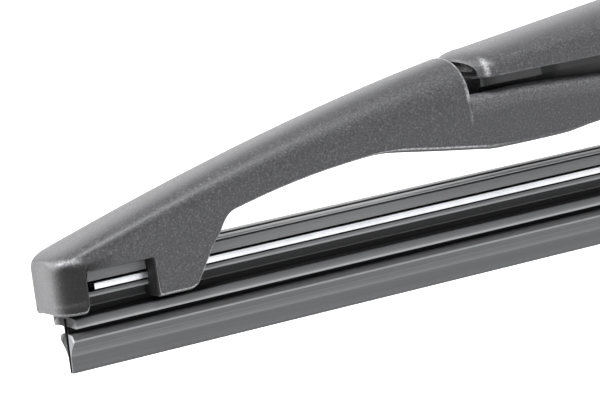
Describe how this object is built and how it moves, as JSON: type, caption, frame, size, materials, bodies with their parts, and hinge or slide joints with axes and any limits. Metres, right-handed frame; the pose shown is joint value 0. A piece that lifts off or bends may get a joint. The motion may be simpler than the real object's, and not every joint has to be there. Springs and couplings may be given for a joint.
{
  "type": "rear wiper blade with arm",
  "caption": "Rear window wiper: rubber refill held by a moulded arched bridge, clipped to a spring-loaded moulded arm with spindle head and tip-up nut cover.",
  "frame": {"origin": "mouth of the spindle bore in the foot of the arm's head, on the bore's axis", "axes": "+X points from the blade towards the head along the blade, +Z away from the glass along the spindle, Y across the blade; the blade lies on the -X side and the rubber's lip is 9 mm below the origin"},
  "size_m": [0.3169, 0.0292, 0.0438],
  "materials": {
    "bridge_plastic": "fine spark-eroded grain, moulded black",
    "arm_plastic": "fine spark-eroded grain, moulded black",
    "clip_plastic": "smooth matt, moulded black",
    "wiper_rubber": "extruded, low sheen with fine lines along its length",
    "flexor_steel": "bright rolled stainless strip",
    "spring_steel": "zinc plated wire",
    "link_steel": "zinc plated stamping",
    "pin_steel": "ground and zinc plated",
    "head_metal": "die casting, matt black coating",
    "bush_steel": "sintered and oiled"
  },
  "bodies": {
    "head": {"arm_head": "head_metal", "spindle_bush": "bush_steel", "link_pin": "pin_steel", "cover_pin": "pin_steel"},
    "arm": {"arm_shell": "arm_plastic", "pivot_clip": "clip_plastic", "arm_hinge_pin": "pin_steel", "spring_anchor_pin": "pin_steel"},
    "link": {"spring_link": "link_steel", "tension_spring": "spring_steel"},
    "blade": {"blade_bridge": "bridge_plastic", "bridge_pin": "pin_steel", "wiper_rubber": "wiper_rubber", "flexor_front": "flexor_steel", "flexor_rear": "flexor_steel"},
    "cover": {"nut_cover": "bridge_plastic"}
  },
  "joints": [
    {"name": "arm_lift", "type": "hinge", "parent": "head", "child": "arm", "pos_m": [-0.032, 0, 0.019], "axis": [0, 1, 0], "range_deg": [0, 50]},
    {"name": "link_swing", "type": "hinge", "parent": "head", "child": "link", "pos_m": [-0.0268, 0, 0.0128], "axis": [0, 1, 0], "range_deg": [0, 45], "deforming": ["tension_spring"]},
    {"name": "blade_rock", "type": "hinge", "parent": "arm", "child": "blade", "pos_m": [-0.224, 0, 0.0128], "axis": [0, 1, 0], "range_deg": [-6, 4]},
    {"name": "cover_flip", "type": "hinge", "parent": "head", "child": "cover", "pos_m": [-0.013, 0, 0.025], "axis": [0, -1, 0], "range_deg": [0, 95]}
  ],
  "couplings": [
    {"joint": "link_swing", "follows": "arm_lift", "ratio": 0.9}
  ]
}
